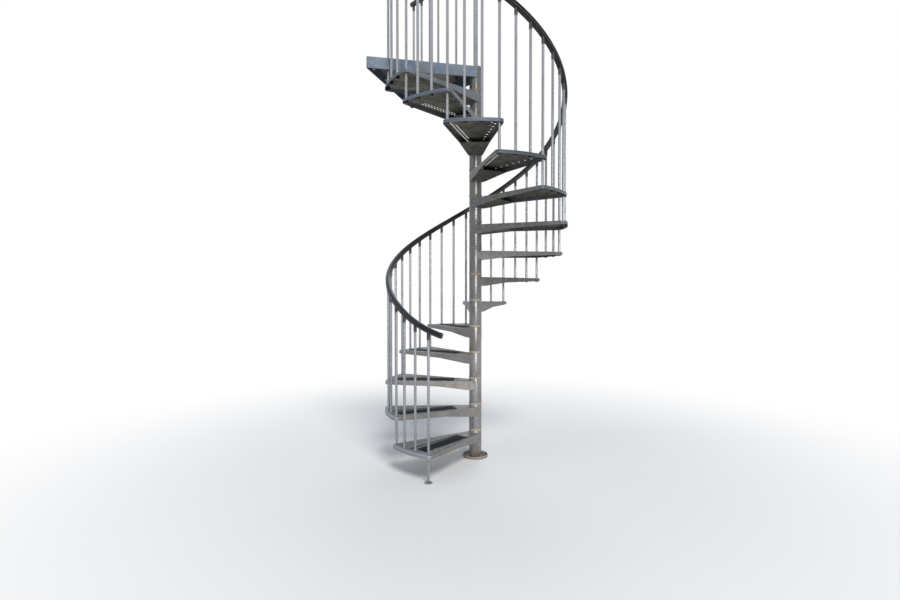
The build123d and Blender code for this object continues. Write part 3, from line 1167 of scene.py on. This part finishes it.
# From the middle of the wide strip to that of the narrow one
narrow_shift = (11, -77, 0)
wide_size = {"length": 500, "width": 100, "corner": 6}
narrow_size = {"length": 516, "width": 12, "corner": 2}
for n in range(1, tread_count + 1):
    extra = 0.0 if n == 1 else hand.uniform(2.5, 5.0)
    here = Matrix.Translation((0, 0, tread_top(n))) @ turned_by(tread_mid_angle(n))
    pivot = here @ Matrix.Translation(wide_centre) @ turned_by(extra)
    strip(strips, pivot @ turned_by(5.5), **wide_size)
    strip(strips, pivot @ Matrix.Translation(narrow_shift) @ turned_by(1), **narrow_size)
finished("grit_strips", strips, [grit_paint], ["anti_slip_strips"])


# Materials of the CAD nodes that stay
def repaint(name, paint):
    """Give a CAD node a material."""
    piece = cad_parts[name]
    piece.data.materials.clear()
    piece.data.materials.append(paint)


for n in range(1, tread_count + 1):
    repaint("balusters_" + str(n).zfill(2), tube_paint)
repaint("landing_balusters", tube_paint)
repaint("centre_pole", tube_paint)
repaint("handrail_bar", bar_paint)
repaint("landing_handrail_bar", bar_paint)


# Floor, light and background
def seen_rays(nodes, links):
    """1 for what the camera, reflections and glass see, and 0 for the light that falls on things."""
    rays = nodes.new("ShaderNodeLightPath")
    share = rays.outputs["Is Camera Ray"]
    for kind in ("Is Glossy Ray", "Is Transmission Ray"):
        either = nodes.new("ShaderNodeMath")
        either.operation = "MAXIMUM"
        links.new(share, either.inputs[0])
        links.new(rays.outputs[kind], either.inputs[1])
        share = either.outputs[0]
    return share


def pale_floor():
    """Matte pale floor that keeps the shadow and turns white further out."""
    paint = Paint("pale floor", 0.0, 0.0)
    seen = seen_rays(paint.nodes, paint.links)
    paint.ground(seen, (0.4, 0.4, 0.4), (0.86, 0.86, 0.86))
    paint.finish(0.95)
    glow = paint.new("Emission", {})
    far = paint.times(paint.band(paint.length(paint.spot), 1.2, 4.5), seen)
    mix = paint.new("MixShader", {0: far, 1: paint.shader.outputs[0], 2: glow.outputs[0]})
    paint.put(paint.nodes["Material Output"].inputs["Surface"], mix.outputs[0])
    return paint.material


def make_floor():
    """Plain pale floor under the stair."""
    half = 60.0
    corners = [(-half, -half, 0), (half, -half, 0), (half, half, 0), (-half, half, 0)]
    data = bpy.data.meshes.new("floor")
    data.from_pydata(corners, [], [(0, 1, 2, 3)])
    data.materials.append(pale_floor())
    added("floor", data)


def make_world():
    """Even light, with white for what the camera and the reflections see."""
    world = bpy.data.worlds.new("studio")
    world.use_nodes = True
    nodes, links = world.node_tree.nodes, world.node_tree.links
    mix = nodes.new("ShaderNodeMix")
    mix.data_type = "RGBA"
    mix.inputs["A"].default_value = (0.25, 0.28, 0.33, 1)
    mix.inputs["B"].default_value = (1, 1, 1, 1)
    links.new(seen_rays(nodes, links), mix.inputs["Factor"])
    links.new(mix.outputs["Result"], nodes["Background"].inputs["Color"])
    bpy.context.scene.world = world


def make_lamp(name, azimuth, elevation, spread, strength, colour):
    """Soft parallel light from a direction in degrees, as wide as a large studio lamp."""
    data = bpy.data.lights.new(name, "SUN")
    data.angle = radians(spread)
    data.energy = strength
    data.color = colour
    rise_angle = radians(elevation)
    x, y = polar(cos(rise_angle), azimuth)
    lamp = added(name, data)
    lamp.rotation_euler = Vector((x, y, sin(rise_angle))).to_track_quat("Z", "Y").to_euler()


make_floor()
make_world()
make_lamp("key", -54, 50, 22, 1.85, (1.0, 0.98, 0.95))
make_lamp("streak", -64, 5, 11, 1.5, (1.0, 0.98, 0.96))
make_lamp("fill", -150, 32, 30, 0.3, (0.93, 0.96, 1.0))
make_lamp("back", 95, 40, 30, 0.5, (1, 1, 1))
bpy.context.scene.view_settings.view_transform = "Standard"
